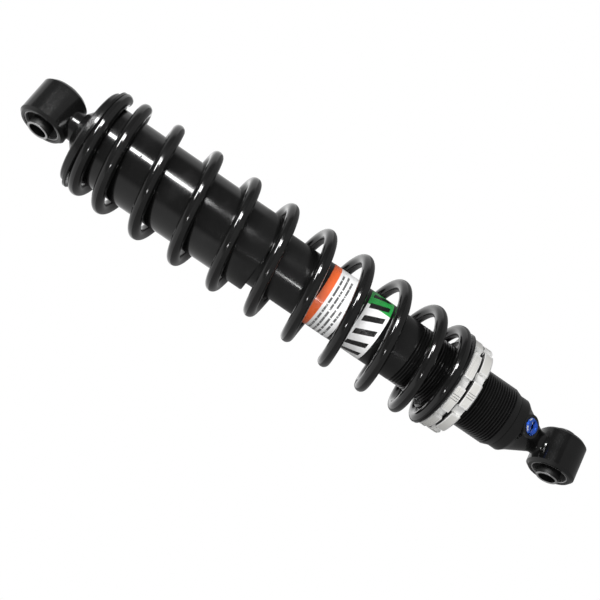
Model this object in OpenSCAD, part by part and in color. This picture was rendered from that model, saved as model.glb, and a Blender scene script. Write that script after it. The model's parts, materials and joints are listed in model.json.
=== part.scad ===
// Coil-over shock absorber: a threaded twin-tube damper inside a coil spring.
// The origin is the centre of the lower eye's bolt hole. +Z runs along the shaft
// to the upper eye, and both bolt holes run along X. All sizes are in millimetres.

/* [Eyes] */
// Distance between the two bolt holes, fully extended
eye_to_eye = 415; // [413:1:420]
// Radius of both eye barrels
eye_r = 17.1; // [16.6:0.1:17.4]
// Width of the lower eye
lower_eye_w = 28.5; // [28:0.5:30]
// Width of the upper eye
upper_eye_w = 29; // [28.5:0.5:31]
// Bolt hole through each inner sleeve
bolt_hole_d = 12.2; // [10:0.1:12.6]
// Outside of each inner sleeve
sleeve_d = 15.6; // [15:0.1:16.4]
// Length of each inner sleeve
sleeve_l = 37; // [35:0.5:39]

/* [Damper] */
// Outside of the damper tube, over its thread
tube_d = 45; // [44.6:0.1:45.2]
// Bore of the damper tube
tube_bore_d = 38; // [37.6:0.1:38.4]
// Bore of the inner pressure tube
pressure_bore_d = 30; // [29.6:0.1:30.4]
// Shaft
shaft_d = 14; // [13:0.5:14.5]
// Full travel of the shaft
stroke = 88; // [60:1:88]
// Pitch of the preload thread
thread_pitch = 2; // [1.6:0.1:2.4]
// Number of turns of the preload thread
thread_turns = 40; // [30:1:44]

/* [Spring] */
// Outside of the coils
spring_od = 81; // [79:0.5:82]
// Wire
wire_d = 8.7; // [8:0.1:9]
// Turns of wire, end to end
spring_turns = 10.75; // [9:0.25:11]
// Pitch at the closed ends
end_pitch = 8.5; // [8.5:0.1:10]
// Turns over which the pitch opens up at each end
end_turns = 2; // [1.5:0.1:2.5]
// How far the bottom end coil is drawn in
foot_draw = 4.5; // [2:0.1:4.5]
// How far the top end coil is drawn in
head_draw = 3; // [2:0.1:3]

/* [Preload rings] */
// Outside of the preload ring
preload_ring_d = 69.2; // [66:0.1:70]
// Outside of the lock ring
lock_ring_d = 68; // [66:0.1:70]
// Thickness of each ring
ring_h = 7.6; // [6:0.1:7.6]
// Spanner notches round each ring
ring_notches = 8; // [4:1:10]
// Width of a spanner notch
notch_w = 7.4; // [5:0.1:8]
// Depth of a spanner notch
notch_depth = 3.8; // [2:0.1:4.5]

/* [Adjuster] */
// Direction of the damping adjuster round the end cap, in degrees
adjuster_azimuth = -92; // [-100:1:-80]
// Droop of the damping adjuster below level, in degrees
adjuster_droop = 27; // [22:1:32]
// Outside of the adjuster dial
dial_d = 12.2; // [12:0.1:13.5]

/* [Covers] */
// Outside of the dust shroud
shroud_d = 56; // [54:0.5:56]
// Wall of the dust shroud
shroud_wall = 1.8; // [1.2:0.1:2.2]

/* [Hidden] */
smooth = 96;
fine = 40;
// Clearance between pieces of one body, and between a shaft and its bore
seat_gap = 0.03;
run_gap = 0.04;
// Clearance between pieces that turn or slide past each other
air_gap = 0.3;

sleeve_r = sleeve_d / 2;
shell_r = 13.2;
shell_l = 28;
shell_wall = 1.1;
eye_bevel = 2;
rubber_inset = 2;

tube_r = tube_d / 2;
bore_r = tube_bore_d / 2;
pressure_r = pressure_bore_d / 2;
pressure_wall = 1.5;
shaft_r = shaft_d / 2;

// Heights from the lower eye: end cap, tube and base valve
cap_waist_r = 8.7;
cap_waist_fillet = 6;
saddle_sink = 0.12;
cap_r = 20.5;
cap_top = 46;
plug_top = 53;
tube_foot = 46.4;
thread_z = 51;
thread_depth = 1.1;
base_flange_top = 56;
base_top = 62;
tube_top = 266;

// Heights of the rod guide and of what sits above it
guide_foot = 247;
guide_seat = 251;
guide_top = 262;
circlip_z = 262.4;
circlip_h = 1.4;
dust_cap_foot = 264.2;
dust_cap_top = 268;

// Labels wrapped round the tube: height, width and the angles they cover
label_t = 0.14;
upper_label_z = 181.5;
upper_label_h = 23;
upper_label_from = 138;
upper_label_turn = 215;
lower_label_z = 155.7;
lower_label_h = 18;
lower_label_from = 163;
lower_label_turn = 163;

// Preload rings, perch and the ground ends of the spring
lock_ring_z = 81;
preload_ring_z = 89.3;
perch_z = 97.1;
perch_h = 2.3;
perch_r = 36.3;
spring_foot = perch_z + perch_h + 0.2;
foot_tip_z = spring_foot - 3.5;
foot_tip_angle = 65.6;

// Heights that hang from the upper eye
retainer_z = eye_to_eye - 34.3;
rim_top = eye_to_eye - 28;
hub_z = eye_to_eye - 25.5;
hub_top = eye_to_eye - 20;
spring_head = retainer_z - 0.2;
head_tip_z = spring_head - 0.4;
neck_foot = eye_to_eye - 33;
neck_step = eye_to_eye - 23.7;
neck_r = 10.5;
neck_inner_r = 9.5;
neck_fillet = 4;
stud_r = 6;
jam_nut_z = neck_foot - 8.5;
jam_nut_h = 8.2;
stop_cup_z = jam_nut_z - 2.6;
bump_foot = dust_cap_top + stroke + 1;
shroud_foot = eye_to_eye - 167.5;
shroud_top = retainer_z - 0.1;

// Piston stack, hung below the rod guide
shaft_shoulder = 241;
stack_h = 2.4;
piston_h = 10;
piston_top = shaft_shoulder - stack_h;
piston_foot = piston_top - piston_h;
piston_nut_h = 6.6;
piston_stud_r = 5;

// Damping adjuster, measured outward along its own axis
adjuster_z = 41.3;
boss_start = 8;
boss_end = 19.2;
boss_r = 8.3;
pocket_floor = 16.2;
dial_foot = 16.4;
dial_face = 20.6;
hub_start = 11;
dial_hub_r = 3.4;
needle_r = 1.5;
needle_tip = 2.4;
needle_end = 15.2;

// Wire centreline: the pitch opens steadily from each closed end to the middle
wire_r = wire_d / 2;
coil_r = spring_od / 2 - wire_r;
wire_rise = head_tip_z - foot_tip_z;
mid_pitch = (wire_rise - end_turns * end_pitch) / (spring_turns - end_turns);
rings_per_turn = 24;
wire_sides = 8;
draw_turns = 2.5;

// ---------- shared shapes ----------

function arc(r, z, radius, from, to, steps) =
  [for (i = [0 : steps])
    let (a = from + (to - from) * i / steps)
    [r + radius * cos(a), z + radius * sin(a)]];

module spin() {
  rotate_extrude($fn = smooth) children();
}

module along_x() {
  rotate([0, 90, 0]) children();
}

module at_upper_eye() {
  translate([0, 0, eye_to_eye]) children();
}

module along_adjuster() {
  translate([0, 0, adjuster_z])
    rotate([0, 0, adjuster_azimuth])
      rotate([0, 90 + adjuster_droop, 0]) children();
}

module ring(r_out, r_in, z_low, z_high) {
  spin() translate([r_in, z_low]) square([r_out - r_in, z_high - z_low]);
}

module o_ring(r, z, thickness) {
  rotate_extrude($fn = smooth) translate([r, z]) circle(d = thickness, $fn = fine);
}

// A tube along X with bevelled ends
module bush(length, r_out, r_in, bevel) {
  half = length / 2;
  along_x() spin() polygon([
    [r_in + bevel, -half], [r_out - bevel, -half], [r_out, bevel - half],
    [r_out, half - bevel], [r_out - bevel, half], [r_in + bevel, half],
    [r_in, half - bevel], [r_in, bevel - half]
  ]);
}

// Rubber between shell and sleeve, dished at both faces
module rubber_bush() {
  half = shell_l / 2 - rubber_inset;
  r_out = shell_r - shell_wall - seat_gap;
  r_in = sleeve_r + run_gap;
  dish = (r_out + r_in) / 2;
  along_x() spin() polygon([
    [r_in, 1 - half], [dish, 2.4 - half], [r_out, -half],
    [r_out, half], [dish, half - 2.4], [r_in, half - 1]
  ]);
}

module eye_shell() {
  bush(shell_l, shell_r, shell_r - shell_wall, 0.3);
}

// Solid eye barrel, bored for its shell
module eye_barrel(width) {
  bush(width, eye_r, 0, eye_bevel);
}

module shell_bore() {
  along_x() cylinder(r = shell_r + seat_gap, h = 2 * shell_l, center = true, $fn = smooth);
}

module hex_nut(across, r_in, z, h) {
  difference() {
    translate([0, 0, z]) cylinder(d = across / cos(30), h = h, $fn = 6);
    translate([0, 0, z - 1]) cylinder(r = r_in, h = h + 2, $fn = smooth);
  }
}

// Notched ring that turns on the damper thread
module notched_ring(d, z, first_notch) {
  bevel = 0.9;
  r_out = d / 2;
  difference() {
    spin() polygon([
      [tube_r + 0.1 + bevel, z], [r_out - bevel, z], [r_out, z + bevel],
      [r_out, z + ring_h - bevel], [r_out - bevel, z + ring_h],
      [tube_r + 0.1 + bevel, z + ring_h], [tube_r + 0.1, z + ring_h - bevel],
      [tube_r + 0.1, z + bevel]
    ]);
    for (i = [0 : ring_notches - 1])
      rotate([0, 0, first_notch + i * 360 / ring_notches])
        translate([r_out - notch_depth, -notch_w / 2, z - 1])
          cube([2 * notch_depth, notch_w, ring_h + 2]);
  }
}

// ---------- lower end cap, its bush and the adjuster ----------

// Height where a fillet touches both the waist and the eye barrel
function saddle_z(waist_r, fillet) =
  sqrt((eye_r + fillet) ^ 2 - (waist_r + fillet) ^ 2);

// Angle at which that fillet leaves the barrel
function saddle_angle(waist_r, fillet) =
  acos((waist_r + fillet) / (eye_r + fillet));

// The fillet sinks a little, so it crosses the barrel and does not just touch it
module cap_body() {
  centre_r = cap_waist_r + cap_waist_fillet;
  centre_z = saddle_z(cap_waist_r, cap_waist_fillet) - saddle_sink;
  leave = saddle_angle(cap_waist_r, cap_waist_fillet);
  spin() polygon(concat(
    [[0, 6], [9, 6]],
    arc(centre_r, centre_z, cap_waist_fillet, 180 + leave + 6, 180 - 31, 12),
    [[17.4, 35.3], [20, 38.7], [cap_r, 39.7], [cap_r, cap_top],
     [bore_r - seat_gap, cap_top], [bore_r - seat_gap, plug_top], [12, plug_top],
     [12, plug_top - 3], [0, plug_top - 3]]
  ));
}

module cap_grooves() {
  for (i = [0 : 3])
    rotate([0, 0, -31 - 9 * i])
      translate([18.6, 0, 37])
        rotate([12, -35, 0])
          cube([2, 1.3, 5], center = true);
}

module lower_end_cap() {
  color("#1b1b1d")
  difference() {
    union() {
      eye_barrel(lower_eye_w);
      cap_body();
      along_adjuster()
        translate([0, 0, boss_start])
          cylinder(r = boss_r, h = boss_end - boss_start, $fn = smooth);
    }
    shell_bore();
    cap_grooves();
    o_ring_groove();
    along_adjuster() adjuster_bores();
    // Oil ways from the valve seat to both chambers
    translate([0, 0, adjuster_z]) cylinder(r = 2, h = plug_top - adjuster_z, $fn = fine);
    translate([0, 0, adjuster_z])
      rotate([0, 55, adjuster_azimuth + 180])
        cylinder(r = 1.2, h = 40, $fn = fine);
  }
}

module o_ring_groove() {
  spin() translate([bore_r - 1.9, 48.6]) square([3, 2.4]);
}

module adjuster_bores() {
  cylinder(r = 1.2, h = boss_start, $fn = fine);
  translate([0, 0, 3]) cylinder(r = needle_r + 0.6, h = boss_end, $fn = fine);
  translate([0, 0, hub_start - 0.4]) cylinder(r = dial_hub_r + run_gap, h = boss_end, $fn = fine);
  translate([0, 0, pocket_floor]) cylinder(r = dial_d / 2 + 0.25, h = boss_end, $fn = smooth);
}

module cap_o_ring() {
  color("#141414") o_ring(bore_r - 0.95, 49.8, 1.8);
}

module lower_eye_shell() {
  color("#9a9c9e") eye_shell();
}

module lower_eye_rubber() {
  color("#161617") rubber_bush();
}

module lower_sleeve() {
  color("#b9bbbd") bush(sleeve_l, sleeve_r, bolt_hole_d / 2, 0.3);
}

module adjuster_dial() {
  r = dial_d / 2;
  color("#1d4fc4")
  along_adjuster()
  difference() {
    union() {
      spin() polygon([
        [0, hub_start], [dial_hub_r, hub_start], [dial_hub_r, dial_foot],
        [r, dial_foot], [r, dial_face - 1.1], [r - 1.1, dial_face],
        [r - 2.2, dial_face], [r - 2.9, dial_face - 0.7], [0, dial_face - 0.7]
      ]);
    }
    // Hole for the needle's thread, O-ring groove and screwdriver slot
    translate([0, 0, hub_start - 1]) cylinder(r = needle_r + 0.05, h = 6, $fn = fine);
    ring(dial_hub_r + 1, dial_hub_r - 0.9, 13, 14.5);
    translate([-0.7, -r, dial_face - 2.2]) cube([1.4, dial_d, 4]);
    translate([0, 0, dial_face - 2.6]) cylinder(r = 1.5, h = 4, $fn = fine);
  }
}

module adjuster_needle() {
  color("#c9cacc")
  along_adjuster()
  spin() polygon([
    [0, needle_tip], [0.5, needle_tip + 0.4], [needle_r, needle_tip + 3.4],
    [needle_r, needle_end], [0, needle_end]
  ]);
}

module adjuster_o_ring() {
  color("#141414") along_adjuster() o_ring(dial_hub_r - 0.4, 13.75, 0.84);
}

// ---------- damper tube and what is fixed in it ----------

module damper_tube() {
  thread_top = thread_z + thread_turns * thread_pitch;
  color("#141416")
  spin() polygon(concat(
    [[bore_r, tube_foot], [tube_r - 1.7, tube_foot], [tube_r, thread_z]],
    [for (i = [0 : thread_turns - 1], k = [[0, 0.15], [1, 0.5], [0, 0.85]])
      [tube_r - thread_depth * k[0], thread_z + thread_pitch * (i + k[1])]],
    [[tube_r, thread_top], [tube_r, tube_top - 1], [tube_r - 1, tube_top],
     [bore_r, tube_top], [bore_r, circlip_z + circlip_h + 0.1],
     [bore_r + 0.8, circlip_z + circlip_h + 0.1], [bore_r + 0.8, circlip_z - 0.1],
     [bore_r, circlip_z - 0.1]]
  ));
}

module pressure_tube() {
  color("#8d9093") ring(pressure_r + pressure_wall, pressure_r, base_flange_top + 0.05, guide_seat - 0.05);
}

module base_valve_body() {
  color("#a8a9a4")
  difference() {
    spin() polygon([
      [0, plug_top + 0.05], [bore_r - 0.1, plug_top + 0.05], [bore_r - 0.1, base_flange_top],
      [pressure_r - seat_gap, base_flange_top], [pressure_r - seat_gap, base_top], [0, base_top]
    ]);
    translate([0, 0, plug_top - 1]) cylinder(r = 2.5 + seat_gap, h = 12, $fn = fine);
    for (i = [0 : 5])
      rotate([0, 0, 60 * i]) {
        translate([9.5, 0, plug_top - 1]) cylinder(r = 1.6, h = 12, $fn = fine);
        translate([bore_r, 0, plug_top - 1]) cylinder(r = 1.8, h = 12, $fn = fine);
      }
  }
}

module base_valve_shim() {
  color("#c4c5c6") ring(12.5, 2.6, base_top + 0.02, base_top + 0.8);
}

module base_valve_bolt() {
  color("#6f7072")
  union() {
    translate([0, 0, plug_top - 2.4]) cylinder(d = 9, h = 2.4, $fn = 6);
    translate([0, 0, plug_top - 1]) cylinder(r = 2.5, h = base_top + 5 - plug_top, $fn = fine);
    translate([0, 0, base_top + 0.82]) cylinder(d = 9, h = 3.6, $fn = 6);
  }
}

module rod_guide() {
  color("#b4b5b1")
  difference() {
    spin() polygon([
      [shaft_r + 0.5, guide_foot], [pressure_r - seat_gap, guide_foot],
      [pressure_r - seat_gap, guide_seat], [bore_r - seat_gap, guide_seat],
      [bore_r - seat_gap, guide_top], [shaft_r + 0.5, guide_top]
    ]);
    ring(shaft_r + 1.6, shaft_r, guide_foot + 1, 256);
    ring(shaft_r + 4.5, shaft_r, 256.5, guide_top + 1);
    ring(bore_r + 1, bore_r - 1.9, 254, 256.4);
  }
}

module guide_bush() {
  color("#8a6d3b") ring(shaft_r + 1.6 - seat_gap, shaft_r + run_gap, guide_foot + 1.05, 255.95);
}

module shaft_seal() {
  r_out = shaft_r + 4.5 - seat_gap;
  color("#2a1612")
  spin() polygon([
    [shaft_r + run_gap, 257.2], [shaft_r + 1.4, 256.6], [r_out, 256.6],
    [r_out, 261.4], [shaft_r + 2.2, 261.4], [shaft_r + 1.2, 259], [shaft_r + run_gap, 258.2]
  ]);
}

module rod_guide_o_ring() {
  color("#141414") o_ring(bore_r - 0.95, 255.2, 1.8);
}

module rod_guide_circlip() {
  color("#55565a")
  difference() {
    ring(bore_r + 0.7, bore_r - 2.2, circlip_z, circlip_z + circlip_h);
    translate([0, -3.5, circlip_z - 1]) cube([2 * bore_r, 7, circlip_h + 2]);
  }
}

module dust_cap() {
  color("#222224")
  spin() polygon([
    [shaft_r + 2.6, dust_cap_foot], [bore_r - seat_gap, dust_cap_foot],
    [bore_r - seat_gap, tube_top + 0.05], [tube_r - 1, tube_top + 0.05],
    [tube_r - 0.2, tube_top + 0.8], [tube_r - 1.2, dust_cap_top], [shaft_r + 2.6, dust_cap_top]
  ]);
}

module shaft_wiper() {
  r_out = shaft_r + 2.6 - seat_gap;
  color("#1c1c1c")
  spin() polygon([
    [shaft_r + 0.6, dust_cap_foot + 0.2], [r_out, dust_cap_foot + 0.2], [r_out, dust_cap_top - 0.2],
    [shaft_r + 1, dust_cap_top - 0.2], [shaft_r + run_gap, dust_cap_top + 0.4],
    [shaft_r + run_gap, dust_cap_top - 0.4]
  ]);
}

module tube_label(z, height, from, turn) {
  rotate([0, 0, from])
    rotate_extrude(angle = turn, $fn = 180)
      translate([tube_r + 0.02, z]) square([label_t, height]);
}

module upper_label() {
  color("#e9e9e6") tube_label(upper_label_z, upper_label_h, upper_label_from, upper_label_turn);
}

module lower_label() {
  color("#2f9a3c") tube_label(lower_label_z, lower_label_h, lower_label_from, lower_label_turn);
}

// ---------- preload rings, perch and spring ----------

module lock_ring() {
  color("#d4d5d6") notched_ring(lock_ring_d, lock_ring_z, 268);
}

module preload_ring() {
  color("#d9dadb") notched_ring(preload_ring_d, preload_ring_z, 254);
}

module spring_perch() {
  pilot_r = coil_r - wire_r - foot_draw - 0.4;
  color("#19191b")
  spin() polygon([
    [tube_r + air_gap, perch_z], [perch_r - 0.6, perch_z], [perch_r, perch_z + 0.6],
    [perch_r, perch_z + perch_h - 0.6], [perch_r - 0.6, perch_z + perch_h],
    [pilot_r, perch_z + perch_h], [pilot_r, perch_z + perch_h + 3.6],
    [pilot_r - 1.2, perch_z + perch_h + 4.8], [tube_r + air_gap, perch_z + perch_h + 4.8]
  ]);
}

// Height gained s turns in from either end
function rise(s) =
  s < end_turns
    ? end_pitch * s + (mid_pitch - end_pitch) * s ^ 2 / (2 * end_turns)
    : end_turns * (end_pitch + mid_pitch) / 2 + mid_pitch * (s - end_turns);

function wire_z(t) =
  t < spring_turns / 2 ? foot_tip_z + rise(t) : head_tip_z - rise(spring_turns - t);

// How far the coil is drawn in, s turns from an end
function draw_in(s, most) = most * max(0, 1 - s / draw_turns) ^ 1.5;

function wire_radius(t) =
  coil_r - draw_in(t, foot_draw) - draw_in(spring_turns - t, head_draw);

module wire_sweep() {
  steps = round(spring_turns * rings_per_turn);
  last = steps * wire_sides;
  points = [for (i = [0 : steps], k = [0 : wire_sides - 1])
    let (
      t = spring_turns * i / steps,
      around = foot_tip_angle + 360 * t,
      a = 360 * (k + 0.5) / wire_sides,
      r = wire_radius(t) + wire_r * cos(a)
    )
    [r * cos(around), r * sin(around), wire_z(t) + wire_r * sin(a)]];
  sides = [for (i = [0 : steps - 1], k = [0 : wire_sides - 1])
    let (n = (k + 1) % wire_sides, low = i * wire_sides, high = low + wire_sides)
    [low + k, low + n, high + n, high + k]];
  foot = [[for (k = [wire_sides - 1 : -1 : 0]) k]];
  head = [[for (k = [0 : wire_sides - 1]) last + k]];
  polyhedron(points, concat(sides, foot, head), convexity = 12);
}

module coil_spring() {
  color("#111113")
  intersection() {
    wire_sweep();
    translate([-spring_od, -spring_od, spring_foot])
      cube([2 * spring_od, 2 * spring_od, spring_head - spring_foot]);
  }
}

// ---------- upper seat ----------

module spring_retainer() {
  color("#18181a")
  spin() polygon([
    [24.2, retainer_z], [36.2, retainer_z], [37, retainer_z + 0.7],
    [37, retainer_z + 2.3], [34.4, retainer_z + 2.5], [34, rim_top - 0.8], [33.2, rim_top],
    [18.6, hub_z], [12, hub_top], [neck_r + air_gap, hub_top],
    [neck_r + air_gap, neck_step - air_gap], [neck_inner_r + air_gap, neck_step - air_gap],
    [neck_inner_r + air_gap, rim_top], [21.5, rim_top - 3.2], [24.2, retainer_z + 3]
  ]);
}

module dust_shroud() {
  r_out = shroud_d / 2;
  r_in = r_out - shroud_wall;
  color("#0f0f11")
  difference() {
    spin() polygon([
      [r_in, shroud_foot], [r_out - 0.4, shroud_foot], [r_out, shroud_foot + 0.6],
      [r_out, shroud_top], [24, shroud_top], [24, shroud_top + 2.4], [22.6, shroud_top + 2.4],
      [22.6, shroud_top], [13, shroud_top], [13, shroud_top - 2], [r_in, shroud_top - 2]
    ]);
    rotate([0, 0, -99])
      translate([r_in - 1, 0, eye_to_eye - 66.7])
        along_x() cylinder(d = 1.4, h = 6, $fn = 24);
  }
}

// ---------- shaft, piston and upper eye ----------

module shaft() {
  stud_top = neck_foot + 17;
  color("#d6d8da")
  spin() polygon([
    [0, piston_foot - stack_h - piston_nut_h], [piston_stud_r - 0.6, piston_foot - stack_h - piston_nut_h],
    [piston_stud_r, piston_foot - stack_h - piston_nut_h + 0.6], [piston_stud_r, shaft_shoulder],
    [shaft_r, shaft_shoulder], [shaft_r, stop_cup_z], [stud_r, stop_cup_z],
    [stud_r, stud_top - 0.8], [stud_r - 0.8, stud_top], [0, stud_top]
  ]);
}

module top_out_bumper() {
  color("#3a2f1e")
  spin() polygon([
    [shaft_r + seat_gap, shaft_shoulder + 0.05], [12, shaft_shoulder + 0.05],
    [12, guide_foot - 1.2], [11, guide_foot - 0.2], [shaft_r + seat_gap, guide_foot - 0.2]
  ]);
}

// Shims stacked largest first against the piston
module shim_stack(z, up) {
  for (i = [0 : 3])
    ring(13 - 1.6 * i, piston_stud_r + seat_gap, z + up * 0.6 * i + (up < 0 ? -0.58 : 0.02),
      z + up * 0.6 * i + (up < 0 ? -0.02 : 0.58));
}

module rebound_shims() {
  color("#c4c5c6") shim_stack(piston_top, 1);
}

module compression_shims() {
  color("#c4c5c6") shim_stack(piston_foot, -1);
}

module piston() {
  r = pressure_r - 0.5;
  color("#a9a69c")
  difference() {
    ring(r, piston_stud_r + seat_gap, piston_foot, piston_top);
    ring(r + 1, r - 1.5, piston_foot + 2.5, piston_top - 2.5);
    for (i = [0 : 5])
      rotate([0, 0, 60 * i])
        translate([9, 0, piston_foot - 1])
          cylinder(r = 1.7, h = piston_h + 2, $fn = fine);
  }
}

module piston_band() {
  color("#30343a")
  ring(pressure_r - run_gap, pressure_r - 2 + seat_gap, piston_foot + 2.55, piston_top - 2.55);
}

module piston_nut() {
  color("#77797c")
  hex_nut(17, piston_stud_r + seat_gap, piston_foot - stack_h - piston_nut_h + 0.6, piston_nut_h - 0.6);
}

module bump_stop() {
  top = stop_cup_z - 0.05;
  waist = (bump_foot + top) / 2;
  color("#1f1d1a")
  spin() polygon([
    [shaft_r + 0.3, bump_foot + 0.4], [10.5, bump_foot], [13.5, bump_foot + 2],
    [14, waist - 1.6], [12.4, waist], [14.6, waist + 1.8], [15, top - 1], [14, top],
    [shaft_r + 0.3, top]
  ]);
}

module bump_stop_cup() {
  color("#8b8d90")
  spin() polygon([
    [stud_r + seat_gap, stop_cup_z + 0.02], [18, stop_cup_z + 0.02], [18, stop_cup_z - 3],
    [19.2, stop_cup_z - 3], [19.2, stop_cup_z + 1.4], [stud_r + seat_gap, stop_cup_z + 1.4]
  ]);
}

module jam_nut() {
  color("#77797c") hex_nut(19, stud_r + seat_gap, jam_nut_z, jam_nut_h);
}

module upper_eye() {
  centre_r = neck_r + neck_fillet;
  centre_z = saddle_z(neck_r, neck_fillet);
  leave = saddle_angle(neck_r, neck_fillet);
  color("#1b1b1d")
  difference() {
    at_upper_eye() union() {
      eye_barrel(upper_eye_w);
      mirror([0, 0, 1]) spin() polygon(concat(
        [[0, 6], [9, 6]],
        arc(centre_r, centre_z, neck_fillet, 180 + leave, 180, 8),
        [[neck_r, eye_to_eye - neck_step], [neck_inner_r, eye_to_eye - neck_step],
         [neck_inner_r, eye_to_eye - neck_foot - 0.6],
         [neck_inner_r - 0.6, eye_to_eye - neck_foot], [0, eye_to_eye - neck_foot]]
      ));
    }
    at_upper_eye() shell_bore();
    translate([0, 0, neck_foot - 1]) cylinder(r = stud_r + seat_gap, h = 18.4, $fn = smooth);
  }
}

module upper_eye_shell() {
  color("#9a9c9e") at_upper_eye() eye_shell();
}

module upper_eye_rubber() {
  color("#161617") at_upper_eye() rubber_bush();
}

module upper_sleeve() {
  color("#b9bbbd") at_upper_eye() bush(sleeve_l, sleeve_r, bolt_hole_d / 2, 0.3);
}

lower_end_cap();
cap_o_ring();
lower_eye_shell();
lower_eye_rubber();
lower_sleeve();
adjuster_dial();
adjuster_needle();
adjuster_o_ring();
damper_tube();
pressure_tube();
base_valve_body();
base_valve_shim();
base_valve_bolt();
rod_guide();
guide_bush();
shaft_seal();
rod_guide_o_ring();
rod_guide_circlip();
dust_cap();
shaft_wiper();
upper_label();
lower_label();
lock_ring();
preload_ring();
spring_perch();
coil_spring();
spring_retainer();
dust_shroud();
shaft();
top_out_bumper();
rebound_shims();
piston();
piston_band();
compression_shims();
piston_nut();
bump_stop();
bump_stop_cup();
jam_nut();
upper_eye();
upper_eye_shell();
upper_eye_rubber();
upper_sleeve();
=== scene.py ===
"""Looks of a coil-over shock absorber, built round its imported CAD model, in metres."""

import json
import math

import bmesh
import bpy
from mathutils import Matrix, Vector
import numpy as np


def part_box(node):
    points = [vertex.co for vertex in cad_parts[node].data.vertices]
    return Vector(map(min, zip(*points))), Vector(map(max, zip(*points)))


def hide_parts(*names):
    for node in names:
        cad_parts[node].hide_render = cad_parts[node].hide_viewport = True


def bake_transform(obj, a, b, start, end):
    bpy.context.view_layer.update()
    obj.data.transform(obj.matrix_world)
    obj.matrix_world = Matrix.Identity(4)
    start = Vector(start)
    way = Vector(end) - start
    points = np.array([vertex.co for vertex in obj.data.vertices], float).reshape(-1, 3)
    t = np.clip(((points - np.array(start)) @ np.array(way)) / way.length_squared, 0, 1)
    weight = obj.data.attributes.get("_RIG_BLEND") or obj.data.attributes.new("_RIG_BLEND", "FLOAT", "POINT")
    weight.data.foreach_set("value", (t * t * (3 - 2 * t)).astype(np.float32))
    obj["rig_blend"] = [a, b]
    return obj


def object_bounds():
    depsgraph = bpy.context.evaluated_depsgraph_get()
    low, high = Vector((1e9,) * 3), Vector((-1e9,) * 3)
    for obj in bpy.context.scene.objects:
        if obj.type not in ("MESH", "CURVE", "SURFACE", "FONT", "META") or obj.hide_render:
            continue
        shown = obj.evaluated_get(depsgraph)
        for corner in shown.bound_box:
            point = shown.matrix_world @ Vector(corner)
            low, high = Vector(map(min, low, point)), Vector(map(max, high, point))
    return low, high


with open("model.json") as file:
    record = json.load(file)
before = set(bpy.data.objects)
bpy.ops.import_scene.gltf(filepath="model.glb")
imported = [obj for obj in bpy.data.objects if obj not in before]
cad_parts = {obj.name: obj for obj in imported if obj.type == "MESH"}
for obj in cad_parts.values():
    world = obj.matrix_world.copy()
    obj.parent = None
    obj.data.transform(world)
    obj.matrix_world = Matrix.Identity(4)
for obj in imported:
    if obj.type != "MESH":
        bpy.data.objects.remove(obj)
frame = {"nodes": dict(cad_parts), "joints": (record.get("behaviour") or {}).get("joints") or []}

CAD_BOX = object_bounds()
NODES = frame["nodes"]
MM = 0.001

# Places and sizes taken from the CAD model
SPRING_LOW, SPRING_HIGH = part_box("coil_spring")
TUBE_LOW, TUBE_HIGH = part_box("damper_tube")
TUBE_R = TUBE_HIGH.x
THREAD_END = TUBE_LOW.z + 85 * MM
SLEEVE_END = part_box("lower_sleeve")[1].x
RING_GAP = (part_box("preload_ring")[0].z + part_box("lock_ring")[1].z) / 2

# ---------- camera ----------

CAMERA_AT = Vector((-0.27052, -0.5671, 0.26767))
CAMERA_FORWARD = Vector((0.41277, 0.90628, -0.091))
CAMERA_RIGHT = Vector((0.48231, -0.30223, -0.82221))
CAMERA_LENS = 55.77


def make_camera():
    """The camera at the reference picture's angle."""
    forward = CAMERA_FORWARD.normalized()
    right = (CAMERA_RIGHT - forward * CAMERA_RIGHT.dot(forward)).normalized()
    up = right.cross(forward)
    data = bpy.data.cameras.new("camera")
    data.sensor_width = 36
    data.lens = CAMERA_LENS
    data.clip_start = 0.01
    data.clip_end = 50
    camera = bpy.data.objects.new("camera", data)
    columns = Matrix((right, up, -forward)).transposed()
    camera.matrix_world = Matrix.Translation(CAMERA_AT) @ columns.to_4x4()
    bpy.context.scene.collection.objects.link(camera)
    bpy.context.scene.camera = camera


# ---------- material helpers ----------


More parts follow.
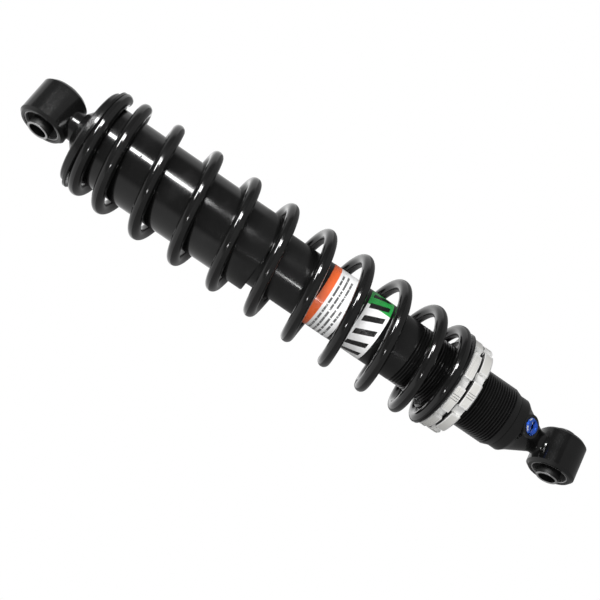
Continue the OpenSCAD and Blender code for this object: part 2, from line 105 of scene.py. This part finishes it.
class Shade:
    """A procedural material: a Principled shader and short calls that add nodes to it."""

    def __init__(self, name, rough=0.4, metal=0.0, **sockets):
        self.mat = bpy.data.materials.new(name)
        self.mat.use_nodes = True
        self.tree = self.mat.node_tree
        self.shader = self.tree.nodes["Principled BSDF"]
        self.shader.inputs["Roughness"].default_value = rough
        self.shader.inputs["Metallic"].default_value = metal
        for socket, value in sockets.items():
            self.shader.inputs[socket.replace("_", " ")].default_value = value
        self.place = self.node("ShaderNodeTexCoord").outputs["Object"]
        self.bumps = None

    def node(self, kind, **settings):
        made = self.tree.nodes.new(kind)
        for key, value in settings.items():
            setattr(made, key, value)
        return made

    def put(self, socket, value):
        if isinstance(value, bpy.types.NodeSocket):
            self.tree.links.new(value, socket)
        else:
            socket.default_value = value

    def math(self, operation, a, b=0.0):
        made = self.node("ShaderNodeMath", operation=operation)
        self.put(made.inputs[0], a)
        self.put(made.inputs[1], b)
        return made.outputs[0]

    def split(self):
        made = self.node("ShaderNodeSeparateXYZ")
        self.put(made.inputs[0], self.place)
        return made.outputs

    def radius(self):
        """Distance from the shaft's axis."""
        x, y, _ = self.split()
        squares = self.math("ADD", self.math("MULTIPLY", x, x), self.math("MULTIPLY", y, y))
        return self.math("SQRT", squares)

    def bearing(self):
        """Angle round the shaft, in degrees, from 0 to 360."""
        x, y, _ = self.split()
        turned = self.math("ARCTAN2", self.math("MULTIPLY", y, -1.0), self.math("MULTIPLY", x, -1.0))
        return self.math("ADD", self.math("MULTIPLY", turned, 180 / math.pi), 180.0)

    def stretched(self, x=1.0, y=1.0, z=1.0):
        made = self.node("ShaderNodeMapping")
        self.put(made.inputs["Vector"], self.place)
        made.inputs["Scale"].default_value = (x, y, z)
        return made.outputs[0]

    def noise(self, scale, detail=3.0, rough=0.55, at=None):
        made = self.node("ShaderNodeTexNoise")
        self.put(made.inputs["Vector"], at or self.place)
        made.inputs["Scale"].default_value = scale
        made.inputs["Detail"].default_value = detail
        made.inputs["Roughness"].default_value = rough
        return made.outputs["Fac"]

    def streak(self, value):
        """Noise that changes along value only."""
        made = self.node("ShaderNodeTexNoise", noise_dimensions="1D")
        self.put(made.inputs["W"], value)
        made.inputs["Scale"].default_value = 1.0
        return made.outputs["Fac"]

    def ramp(self, value, low, high, out_low=0.0, out_high=1.0):
        made = self.node("ShaderNodeMapRange")
        self.put(made.inputs["Value"], value)
        made.inputs["From Min"].default_value = low
        made.inputs["From Max"].default_value = high
        made.inputs["To Min"].default_value = out_low
        made.inputs["To Max"].default_value = out_high
        return made.outputs[0]

    def between(self, value, low, high, soft):
        """1 where value lies between low and high, fading over soft."""
        rise = self.ramp(value, low - soft, low + soft)
        fall = self.ramp(value, high - soft, high + soft, 1.0, 0.0)
        return self.math("MULTIPLY", rise, fall)

    def mix(self, factor, a, b):
        """a where factor is 0, b where it is 1."""
        made = self.node("ShaderNodeMix", data_type="RGBA")
        self.put(made.inputs["Factor"], factor)
        self.put(made.inputs[6], colour(a))
        self.put(made.inputs[7], colour(b))
        return made.outputs[2]

    def colour(self, value):
        self.put(self.shader.inputs["Base Color"], colour(value))

    def rough(self, value):
        self.put(self.shader.inputs["Roughness"], value)

    def bump(self, height, depth):
        """Adds relief of a depth in metres to what is already there."""
        made = self.node("ShaderNodeBump")
        made.inputs["Strength"].default_value = 1.0
        made.inputs["Distance"].default_value = depth
        self.put(made.inputs["Height"], height)
        if self.bumps:
            self.put(made.inputs["Normal"], self.bumps)
        self.bumps = made.outputs["Normal"]
        self.put(self.shader.inputs["Normal"], self.bumps)


def colour(value):
    """A grey level or an RGB triple as RGBA; sockets pass through."""
    if isinstance(value, (int, float)):
        return (value, value, value, 1.0)
    if isinstance(value, tuple) and len(value) == 3:
        return (*value, 1.0)
    return value


# ---------- materials ----------


def black_paint(name, base, rough, coat, peel=0.25):
    """Gloss or satin black paint with orange peel, uneven gloss and cloudy depth."""
    m = Shade(name, rough=rough, Coat_Weight=coat, Coat_Roughness=0.06, Specular_IOR_Level=0.5)
    patch = m.noise(38, 4)
    m.colour(m.mix(m.ramp(patch, 0.35, 0.75), base, base * 1.7))
    m.rough(m.ramp(m.noise(90, 5), 0.3, 0.7, rough * 0.8, rough * 1.25))
    m.bump(m.noise(700, 2), 0.00004 * peel)
    m.bump(m.noise(4200, 2), 0.000008)
    return m


def spring_paint():
    return black_paint("spring_paint", 0.0035, 0.13, 0.6, peel=0.5).mat


def seat_paint():
    return black_paint("seat_paint", 0.004, 0.20, 0.35, peel=0.8).mat


def eye_paint():
    """Gloss black over a slightly grainy forging."""
    m = black_paint("eye_paint", 0.003, 0.15, 0.5, peel=1.2)
    m.bump(m.noise(1600, 4, 0.7), 0.00002)
    return m.mat


def shroud_plastic():
    """Gloss moulded plastic with faint drag marks along it and dusty smudges."""
    m = Shade("shroud_plastic", rough=0.12, Specular_IOR_Level=0.55,
              Coat_Weight=0.3, Coat_Roughness=0.05)
    drag = m.noise(60, 5, 0.6, m.stretched(1, 1, 0.12))
    smudge = m.noise(34, 6, 0.65)
    m.colour(m.mix(m.ramp(smudge, 0.52, 0.72), 0.0035, 0.010))
    film = m.ramp(smudge, 0.45, 0.75, 0.0, 0.12)
    m.rough(m.math("ADD", m.ramp(drag, 0.3, 0.7, 0.10, 0.17), film))
    m.bump(m.noise(250, 3, 0.5, m.stretched(1, 1, 0.3)), 0.00002)
    return m.mat


def tube_finish():
    """Black anodising, rubbed slightly paler on the crests of the thread."""
    m = Shade("tube_finish", rough=0.22, Specular_IOR_Level=0.6,
              Coat_Weight=0.2, Coat_Roughness=0.08)
    z = m.split()[2]
    threaded = m.ramp(z, THREAD_END - 2 * MM, THREAD_END + 1 * MM, 1.0, 0.0)
    crest = m.ramp(m.radius(), TUBE_R - 0.45 * MM, TUBE_R - 0.05 * MM)
    rub = m.ramp(m.noise(150, 5, 0.7), 0.38, 0.7)
    worn = m.math("MULTIPLY", m.math("MULTIPLY", threaded, crest), rub)
    m.colour(m.mix(worn, m.mix(m.ramp(m.noise(45, 4), 0.4, 0.7), 0.003, 0.005), 0.006))
    m.rough(m.ramp(m.noise(120, 4, 0.6, m.stretched(1, 1, 0.1)), 0.3, 0.7, 0.17, 0.27))
    m.bump(m.noise(500, 3, 0.5, m.stretched(0.3, 0.3, 4)), 0.00001)
    return m.mat


NOTCH_STEP = 360.0 / 8
# Half the angle one notch takes up at the ring's edge
NOTCH_HALF = 6.2
# Width of the painted highlight from a notch's flank to where the duller skin of a tooth begins
PAINTED_FLANK_HIGHLIGHT = 1.6
# Turns per metre of the tool marks
TOOL_LINES = 4200.0


def machined_ring(node, marks_at, first_notch):
    """Turned aluminium, clear anodised: fine tool lines round it and three marks on one tooth."""
    m = Shade(node + "_finish", rough=0.3, metal=0.45, Anisotropic=0.35,
              Coat_Weight=0.25, Coat_Roughness=0.25)
    low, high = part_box(node)
    z = m.split()[2]
    tool = m.noise(1, 2, 0.5, m.stretched(40, 40, 5200))
    lines = m.math("ADD", tool, m.streak(m.math("MULTIPLY", m.radius(), TOOL_LINES)))
    bearing = m.bearing()
    mark = 0.0
    for offset in (-3.0, 0.0, 3.0):
        one = m.between(bearing, marks_at + offset - 0.35, marks_at + offset + 0.35, 0.15)
        mark = m.math("MAXIMUM", mark, one)
    across = m.between(z, low.z + 1 * MM, high.z - 1 * MM, 0.1 * MM)
    mark = m.math("MULTIPLY", mark, across)
    cloud = m.ramp(m.noise(70, 4), 0.3, 0.75)
    skin = m.mix(cloud, (0.97, 0.97, 0.955), (0.88, 0.88, 0.865))
    # Teeth: painted highlights along their edges, a duller skin between
    cycle = m.math("MODULO", m.math("ADD", bearing, 360.0 - first_notch), NOTCH_STEP)
    flank = NOTCH_HALF + PAINTED_FLANK_HIGHLIGHT
    dull = m.between(cycle, flank, NOTCH_STEP - flank, 0.5)
    face = m.between(z, low.z + 1.3 * MM, high.z - 1.3 * MM, 0.2 * MM)
    dull = m.math("MULTIPLY", dull, face)
    skin = m.mix(m.math("MULTIPLY", dull, 0.8), skin, (0.80, 0.79, 0.75))
    # Painted shade darkens the two faces that meet, where the gap between the rings lies in shadow
    from_gap = m.math("ABSOLUTE", m.math("SUBTRACT", z, RING_GAP))
    painted_gap_shade = m.ramp(from_gap, 0.85 * MM, 1.1 * MM, 1.0, 0.0)
    m.colour(m.mix(mark, m.mix(painted_gap_shade, skin, 0.03), 0.30))
    m.rough(m.ramp(lines, 0.7, 1.3, 0.26, 0.44))
    m.bump(lines, 0.000012)
    m.bump(mark, -0.00015)
    return m.mat


# Heights along the dial's axis, from its point on the shaft's axis
DIAL_SLOT_FROM, DIAL_SLOT_TO = 19.2 * MM, 19.7 * MM
DIAL_FACE_FROM, DIAL_FACE_TO = 19.75 * MM, 20.5 * MM


def blue_anodised():
    """Blue dial with painted shade in its slot and centre hole, and worn metal here and there on its face
    that doubles as painted glints.
    """
    m = Shade("blue_anodised", rough=0.24, metal=0.75, Coat_Weight=0.6, Coat_Roughness=0.06)
    joint = next(j for j in frame["joints"] if j["name"] == "adjuster_turn")
    along = 0.0
    for place, start, part in zip(m.split(), joint["pos_m"], joint["axis"]):
        step = m.math("MULTIPLY", m.math("SUBTRACT", place, start), part)
        along = m.math("ADD", along, step)
    # Painted shade: everything sunk below the face, the slot and the centre hole, is coloured near black
    painted_recess_shade = m.ramp(along, DIAL_SLOT_FROM, DIAL_SLOT_TO, 1.0, 0.0)
    blue = m.mix(m.ramp(m.noise(300, 3), 0.3, 0.7), (0.05, 0.22, 1.0), (0.03, 0.13, 0.85))
    rim = m.between(along, DIAL_FACE_FROM, DIAL_FACE_TO, 0.1 * MM)
    # Worn metal here and there on the face, pale and placed to act as painted glints
    worn_metal_and_glint = m.math("MULTIPLY", rim, m.ramp(m.noise(260, 2), 0.57, 0.62))
    m.colour(m.mix(worn_metal_and_glint, m.mix(painted_recess_shade, blue, (0.004, 0.008, 0.03)), (0.85, 0.9, 1.0)))
    m.rough(m.ramp(m.noise(900, 3), 0.3, 0.7, 0.18, 0.32))
    m.bump(m.noise(2500, 2), 0.00001)
    return m.mat


def steel(name, base, rough, stain=0.6):
    """Turned and plated steel with faint tool lines and uneven plating."""
    m = Shade(name, rough=rough, metal=0.85, Anisotropic=0.2)
    blotch = m.noise(160, 5, 0.65)
    m.colour(m.mix(m.ramp(blotch, 0.4, 0.75), base, base * stain))
    m.rough(m.ramp(m.noise(400, 4), 0.3, 0.7, rough * 0.8, rough * 1.3))
    m.bump(m.noise(2600, 3), 0.00001)
    return m.mat


def sleeve_steel(name):
    """Steel sleeve with a painted highlight round its ends, and dark down its side and bore."""
    m = Shade(name, rough=0.34, metal=1.0, Anisotropic=0.2)
    x = m.math("ABSOLUTE", m.split()[0])
    end = m.ramp(x, SLEEVE_END - 0.5 * MM, SLEEVE_END - 0.2 * MM)
    blotch = m.ramp(m.noise(160, 5, 0.65), 0.4, 0.75)
    # The last half millimetre and the end faces carry the painted highlight
    m.colour(m.mix(end, m.mix(blotch, 0.07, 0.04), m.mix(blotch, 0.75, 0.6)))
    m.rough(m.mix(end, 0.6, m.ramp(m.noise(400, 4), 0.3, 0.7, 0.28, 0.42)))
    m.bump(m.noise(2600, 3), 0.00001)
    return m.mat


def rubber(name, base=0.012, rough=0.62):
    """Moulded rubber with a fine grain and a dusty bloom."""
    m = Shade(name, rough=rough, Specular_IOR_Level=0.35)
    m.colour(m.mix(m.ramp(m.noise(120, 5), 0.45, 0.75), base, base * 2.2))
    m.rough(m.ramp(m.noise(500, 4), 0.3, 0.7, rough - 0.08, rough + 0.12))
    m.bump(m.noise(2200, 4, 0.7), 0.00005)
    return m.mat


def plain_solid(name, tint, rough, metal=0.0):
    """Coloured alloy or plastic of the pieces inside, with turned or moulded grain."""
    m = Shade(name, rough=rough, metal=metal)
    dark = tuple(0.75 * c for c in tint)
    m.colour(m.mix(m.ramp(m.noise(150, 4), 0.35, 0.7), tint, dark))
    m.rough(m.ramp(m.noise(350, 4), 0.3, 0.7, rough * 0.85, rough * 1.2))
    m.bump(m.noise(1800, 3), 0.00002)
    return m.mat


def label_paper(m):
    return m.mix(m.ramp(m.noise(120, 4), 0.3, 0.8), 0.90, 0.80)


def upper_label_print():
    """White film with an orange band along its top edge and broken dark rules."""
    m = Shade("upper_label_print", rough=0.3, Coat_Weight=0.3, Coat_Roughness=0.12)
    low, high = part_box("upper_label")
    z = m.split()[2]
    bearing = m.bearing()
    height = high.z - low.z
    band = m.ramp(z, high.z - 0.27 * height, high.z - 0.25 * height)
    rules = 0.0
    for row, (start, end) in enumerate(((150, 300), (150, 304), (150, 296), (150, 240))):
        centre = high.z - (0.38 + 0.15 * row) * height
        line = m.between(z, centre - 0.75 * MM, centre + 0.75 * MM, 0.12 * MM)
        line = m.math("MULTIPLY", line, m.between(bearing, start, end, 0.4))
        dashes = m.streak(m.math("ADD", m.math("MULTIPLY", bearing, 0.22), 40.0 * row))
        line = m.math("MULTIPLY", line, m.ramp(dashes, 0.36, 0.40))
        rules = m.math("MAXIMUM", rules, line)
    body = m.mix(rules, label_paper(m), 0.10)
    m.colour(m.mix(band, body, (0.85, 0.14, 0.03)))
    m.rough(m.ramp(m.noise(200, 4), 0.3, 0.7, 0.24, 0.38))
    m.bump(m.noise(900, 3), 0.00001)
    return m.mat


def lower_label_print():
    """A green field and a white one with slanting black bars."""
    m = Shade("lower_label_print", rough=0.28, Coat_Weight=0.35, Coat_Roughness=0.1)
    low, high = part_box("lower_label")
    z = m.split()[2]
    bearing = m.bearing()
    height = high.z - low.z
    green = m.ramp(bearing, 279.6, 280.2)
    along = m.math("ADD", bearing, m.math("MULTIPLY", m.math("SUBTRACT", z, low.z), 1100.0))
    cycle = m.math("MODULO", along, 26.0)
    bars = m.between(cycle, 4.0, 15.0, 0.35)
    inside = m.between(z, low.z + 0.12 * height, high.z - 0.12 * height, 0.1 * MM)
    bars = m.math("MULTIPLY", bars, inside)
    white = m.mix(bars, label_paper(m), 0.01)
    leaf = m.mix(m.noise(90, 3), (0.02, 0.27, 0.05), (0.03, 0.34, 0.07))
    m.colour(m.mix(green, white, m.mix(bars, leaf, 0.01)))
    m.rough(m.ramp(m.noise(200, 4), 0.3, 0.7, 0.2, 0.34))
    m.bump(m.noise(900, 3), 0.00001)
    return m.mat


def dress_frame():
    """Gives every CAD node its material and even shading between its hard edges."""
    # Each look and the nodes that wear it
    looks = (
        (eye_paint(), ("lower_end_cap", "upper_eye")),
        (seat_paint(), ("spring_retainer", "spring_perch")),
        (black_paint("cap_finish", 0.006, 0.3, 0.1).mat, ("dust_cap",)),
        (tube_finish(), ("damper_tube",)),
        (shroud_plastic(), ("dust_shroud",)),
        (machined_ring("preload_ring", marks_at=234.4, first_notch=254.0), ("preload_ring",)),
        (machined_ring("lock_ring", marks_at=244.9, first_notch=268.0), ("lock_ring",)),
        (blue_anodised(), ("adjuster_dial",)),
        (steel("shell_steel", 0.62, 0.3), ("lower_eye_shell", "upper_eye_shell")),
        (sleeve_steel("lower_sleeve_steel"), ("lower_sleeve",)),
        (sleeve_steel("upper_sleeve_steel"), ("upper_sleeve",)),
        (rubber("bush_rubber"), ("lower_eye_rubber",)),
        (rubber("upper_bush_rubber"), ("upper_eye_rubber",)),
        (upper_label_print(), ("upper_label",)),
        (lower_label_print(), ("lower_label",)),
        (spring_paint(), ("coil_spring",)),
        (steel("shaft_chrome", 0.9, 0.06, 0.95), ("shaft",)),
        (plain_solid("bronze", (0.55, 0.38, 0.18), 0.35, 1.0), ("guide_bush",)),
        (plain_solid("band_plastic", (0.10, 0.12, 0.14), 0.5), ("piston_band",)),
        (rubber("bump_rubber", 0.03, 0.7), ("bump_stop", "top_out_bumper")),
        (rubber("seal_rubber", 0.02, 0.5),
         ("cap_o_ring", "adjuster_o_ring", "rod_guide_o_ring", "shaft_seal", "shaft_wiper")),
        (steel("inner_steel", 0.5, 0.32),
         ("pressure_tube", "base_valve_bolt", "piston_nut", "jam_nut", "bump_stop_cup",
          "rod_guide_circlip")),
        (steel("shim_steel", 0.75, 0.2),
         ("base_valve_shim", "rebound_shims", "compression_shims", "adjuster_needle")),
        (plain_solid("inner_alloy", (0.72, 0.72, 0.69), 0.35, 1.0),
         ("base_valve_body", "rod_guide", "piston")),
    )
    look_of = {name: look for look, names in looks for name in names}
    for name, node in NODES.items():
        node.data.materials.clear()
        node.data.materials.append(look_of[name])
        smooth_between_edges(node)


HARD_EDGE = math.radians(28)


def smooth_between_edges(node):
    """Even shading on curved faces, with every edge sharper than HARD_EDGE kept hard."""
    weld = node.modifiers.new("weld", "WELD")
    weld.merge_threshold = 0.002 * MM
    split = node.modifiers.new("split", "EDGE_SPLIT")
    split.split_angle = HARD_EDGE
    split.use_edge_sharp = False
    node.modifiers.new("normals", "WEIGHTED_NORMAL")


# ---------- spring ----------

# The wire follows the CAD helix: pitch, drawn-in ends and ground faces are the same
WIRE_R = 4.35 * MM
COIL_R = 36.15 * MM
TURNS = 10.75
FOOT_ANGLE = 65.6
END_PITCH = 8.5 * MM
END_TURNS = 2.0
FOOT_DRAW = 4.5 * MM
HEAD_DRAW = 3.0 * MM
DRAW_TURNS = 2.5
FOOT_TIP = SPRING_LOW.z - 3.5 * MM
HEAD_TIP = SPRING_HIGH.z - 0.4 * MM
MID_PITCH = (HEAD_TIP - FOOT_TIP - END_TURNS * END_PITCH) / (TURNS - END_TURNS)
RINGS_PER_TURN = 96
WIRE_SIDES = 28
# Turns ahead and behind over which the wire's direction is taken
HALF_STEP = 0.002


def rise(s):
    """Height gained s turns in from either end."""
    if s < END_TURNS:
        return END_PITCH * s + (MID_PITCH - END_PITCH) * s * s / (2 * END_TURNS)
    return END_TURNS * (END_PITCH + MID_PITCH) / 2 + MID_PITCH * (s - END_TURNS)


def wire_z(t):
    """Height of the wire's centre t turns from its foot."""
    return FOOT_TIP + rise(t) if t < TURNS / 2 else HEAD_TIP - rise(TURNS - t)


def wire_radius(t):
    """Distance of the wire's centre from the axis, drawn in at both ends."""
    foot = FOOT_DRAW * max(0.0, 1 - t / DRAW_TURNS) ** 1.5
    head = HEAD_DRAW * max(0.0, 1 - (TURNS - t) / DRAW_TURNS) ** 1.5
    return COIL_R - foot - head


def wire_point(t):
    around = math.radians(FOOT_ANGLE + 360 * t)
    r = wire_radius(t)
    return Vector((r * math.cos(around), r * math.sin(around), wire_z(t)))


def wire_ring(bm, layer, t):
    """One round section of the wire, t turns from its foot."""
    centre = wire_point(t)
    before, after = max(t - HALF_STEP, 0), min(t + HALF_STEP, TURNS)
    ahead = (wire_point(after) - wire_point(before)).normalized()
    out = Vector((centre.x, centre.y, 0)).normalized()
    up = ahead.cross(out).normalized()
    if up.z < 0:
        up.negate()
    out = (out - ahead * out.dot(ahead)).normalized()
    ring = []
    for k in range(WIRE_SIDES):
        a = 2 * math.pi * (k + 0.5) / WIRE_SIDES
        vert = bm.verts.new(centre + WIRE_R * (out * math.cos(a) + up * math.sin(a)))
        # The end turns stay on their seats, and those between close evenly
        vert[layer] = min(max((t - 1) / (TURNS - 2), 0.0), 1.0)
        ring.append(vert)
    return ring


def make_spring():
    """The wire swept along its helix, with both end coils ground flat."""
    bm = bmesh.new()
    layer = bm.verts.layers.float.new("along")
    steps = round(TURNS * RINGS_PER_TURN)
    rings = [wire_ring(bm, layer, TURNS * i / steps) for i in range(steps + 1)]
    for low, high in zip(rings, rings[1:]):
        for k in range(WIRE_SIDES):
            n = (k + 1) % WIRE_SIDES
            bm.faces.new((low[k], low[n], high[n], high[k]))
    bm.faces.new(rings[0])
    bm.faces.new(rings[-1])
    bmesh.ops.recalc_face_normals(bm, faces=bm.faces[:])
    for z, side in ((SPRING_LOW.z, -1), (SPRING_HIGH.z, 1)):
        cut = bmesh.ops.bisect_plane(
            bm, geom=bm.verts[:] + bm.edges[:] + bm.faces[:],
            plane_co=(0, 0, z), plane_no=(0, 0, side), clear_outer=True,
        )
        rim = [e for e in cut["geom_cut"] if isinstance(e, bmesh.types.BMEdge)]
        bmesh.ops.holes_fill(bm, edges=rim)
    mesh = bpy.data.meshes.new("spring")
    bm.to_mesh(mesh)
    bm.free()
    along = [min(1.0, max(0.0, v.value)) for v in mesh.attributes["along"].data]
    mesh.attributes.remove(mesh.attributes["along"])
    spring = bpy.data.objects.new("spring_wire", mesh)
    bpy.context.scene.collection.objects.link(spring)
    mesh.materials.append(spring_paint())
    shade_smooth(spring, 35)
    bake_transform(spring, "damper_body", "upper_seat", start=(0, 0, SPRING_LOW.z), end=(0, 0, SPRING_HIGH.z))
    # Each stretch of wire moves as a whole, so its section stays round as the spring closes
    mesh.attributes["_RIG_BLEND"].data.foreach_set("value", along)
    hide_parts("coil_spring")


# ---------- mesh helpers ----------


def shade_smooth(obj, angle):
    """Smooth shading, kept hard across edges sharper than angle degrees."""
    obj.data.polygons.foreach_set("use_smooth", [True] * len(obj.data.polygons))
    bm = bmesh.new()
    bm.from_mesh(obj.data)
    limit = math.radians(angle)
    for edge in bm.edges:
        edge.smooth = len(edge.link_faces) == 2 and edge.calc_face_angle(0.0) < limit
    bm.to_mesh(obj.data)
    bm.free()


# ---------- studio ----------

AXIS = Vector((0, 0, 1))
TOWARD_CAMERA = Vector((-CAMERA_FORWARD.x, -CAMERA_FORWARD.y, 0)).normalized()
SIDEWAYS = AXIS.cross(TOWARD_CAMERA)

# Room level by bearing from the camera in degrees, positive toward the upper side of the picture
ROOM = (
    (-179, 1.0), (-150, 0.6), (-50, 0.42), (-36, 0.11), (0, 0.09),
    (98, 0.10), (114, 0.48), (150, 0.5), (179, 1.0),
)
# Light that the floor gives to reflections and bounced light
FLOOR_LEVEL = 0.2
FLOOR_RADIUS = 30
# Bearing from the camera in degrees; height, distance, width and length in metres; watts;
# and whether the panel shows in reflections
PANELS = {
    "key_strip": (33, 0.485, 0.62, 0.12, 0.28, 4, True),
    "key_high": (27, 0.78, 0.62, 0.36, 0.10, 5, True),
    "fill_lamp": (-22, 0.14, 0.75, 0.04, 0.09, 0.4, True),
    "front_soft": (-8, 0.30, 0.90, 1.2, 1.2, 9, False),
}


def make_panel(name, angle, z, distance, width, length, power, mirrored):
    """A rectangular softbox that faces the shock's axis."""
    turn = math.radians(angle)
    out = TOWARD_CAMERA * math.cos(turn) + SIDEWAYS * math.sin(turn)
    data = bpy.data.lights.new(name, "AREA")
    data.shape = "RECTANGLE"
    data.size = width
    data.size_y = length
    data.energy = power
    light = bpy.data.objects.new(name, data)
    place = out * distance + AXIS * z
    facing = Matrix((AXIS.cross(out), AXIS, out)).transposed().to_4x4()
    light.matrix_world = Matrix.Translation(place) @ facing
    light.visible_camera = False
    light.visible_glossy = mirrored
    bpy.context.scene.collection.objects.link(light)


def emission_or_background(tree, kind, level):
    """A light-giving node at a grey level, which may be a number or a socket."""
    made = tree.nodes.new(kind)
    if isinstance(level, bpy.types.NodeSocket):
        tree.links.new(level, made.inputs["Color"])
    else:
        made.inputs["Color"].default_value = (level, level, level, 1)
    made.inputs["Strength"].default_value = 1.0
    return made.outputs[0]


def split_by_camera(tree, kind, seen, reflected, output):
    """Shows one level to the camera and another to reflections and bounced light."""
    path = tree.nodes.new("ShaderNodeLightPath")
    mixer = tree.nodes.new("ShaderNodeMixShader")
    tree.links.new(path.outputs["Is Camera Ray"], mixer.inputs[0])
    tree.links.new(emission_or_background(tree, kind, reflected), mixer.inputs[1])
    tree.links.new(emission_or_background(tree, kind, seen), mixer.inputs[2])
    tree.links.new(mixer.outputs[0], output)


def make_floor():
    """A pale floor just under the shock, white to the camera."""
    low, _ = CAD_BOX
    bm = bmesh.new()
    bmesh.ops.create_circle(bm, cap_ends=True, segments=96, radius=FLOOR_RADIUS)
    mesh = bpy.data.meshes.new("floor")
    bm.to_mesh(mesh)
    bm.free()
    floor = bpy.data.objects.new("floor", mesh)
    floor.location = (0, 0, low.z - 1 * MM)
    bpy.context.scene.collection.objects.link(floor)
    material = bpy.data.materials.new("floor_white")
    material.use_nodes = True
    tree = material.node_tree
    tree.nodes.remove(tree.nodes["Principled BSDF"])
    surface = tree.nodes["Material Output"].inputs["Surface"]
    split_by_camera(tree, "ShaderNodeEmission", 1.0, FLOOR_LEVEL, surface)
    mesh.materials.append(material)


def room_light(tree):
    """Grey level of the room by bearing: dark on the camera's side, pale beyond the shock."""
    place = tree.nodes.new("ShaderNodeTexCoord")
    parts = tree.nodes.new("ShaderNodeSeparateXYZ")
    turn = tree.nodes.new("ShaderNodeVectorRotate")
    turn.rotation_type = "Z_AXIS"
    turn.inputs["Angle"].default_value = -math.atan2(TOWARD_CAMERA.y, TOWARD_CAMERA.x)
    tree.links.new(place.outputs["Generated"], turn.inputs["Vector"])
    tree.links.new(turn.outputs[0], parts.inputs[0])
    angle = tree.nodes.new("ShaderNodeMath")
    angle.operation = "ARCTAN2"
    tree.links.new(parts.outputs[1], angle.inputs[0])
    tree.links.new(parts.outputs[0], angle.inputs[1])
    share = tree.nodes.new("ShaderNodeMapRange")
    tree.links.new(angle.outputs[0], share.inputs["Value"])
    share.inputs["From Min"].default_value = -math.pi
    share.inputs["From Max"].default_value = math.pi
    ramp = tree.nodes.new("ShaderNodeValToRGB")
    tree.links.new(share.outputs[0], ramp.inputs["Fac"])
    stops = ramp.color_ramp.elements
    for at, level in ROOM:
        stop = stops.new((at + 180) / 360)
        stop.color = (level, level, level, 1)
    stops.remove(stops[0])
    stops.remove(stops[-1])
    return ramp.outputs["Color"]


def make_world():
    world = bpy.data.worlds.new("studio")
    world.use_nodes = True
    bpy.context.scene.world = world
    tree = world.node_tree
    tree.nodes.remove(tree.nodes["Background"])
    surface = tree.nodes["World Output"].inputs["Surface"]
    split_by_camera(tree, "ShaderNodeBackground", 1.0, room_light(tree), surface)


def make_studio():
    bpy.context.scene.view_settings.view_transform = "Standard"
    make_world()
    make_floor()
    for name, settings in PANELS.items():
        make_panel(name, *settings)


make_camera()
dress_frame()
make_spring()
make_studio()
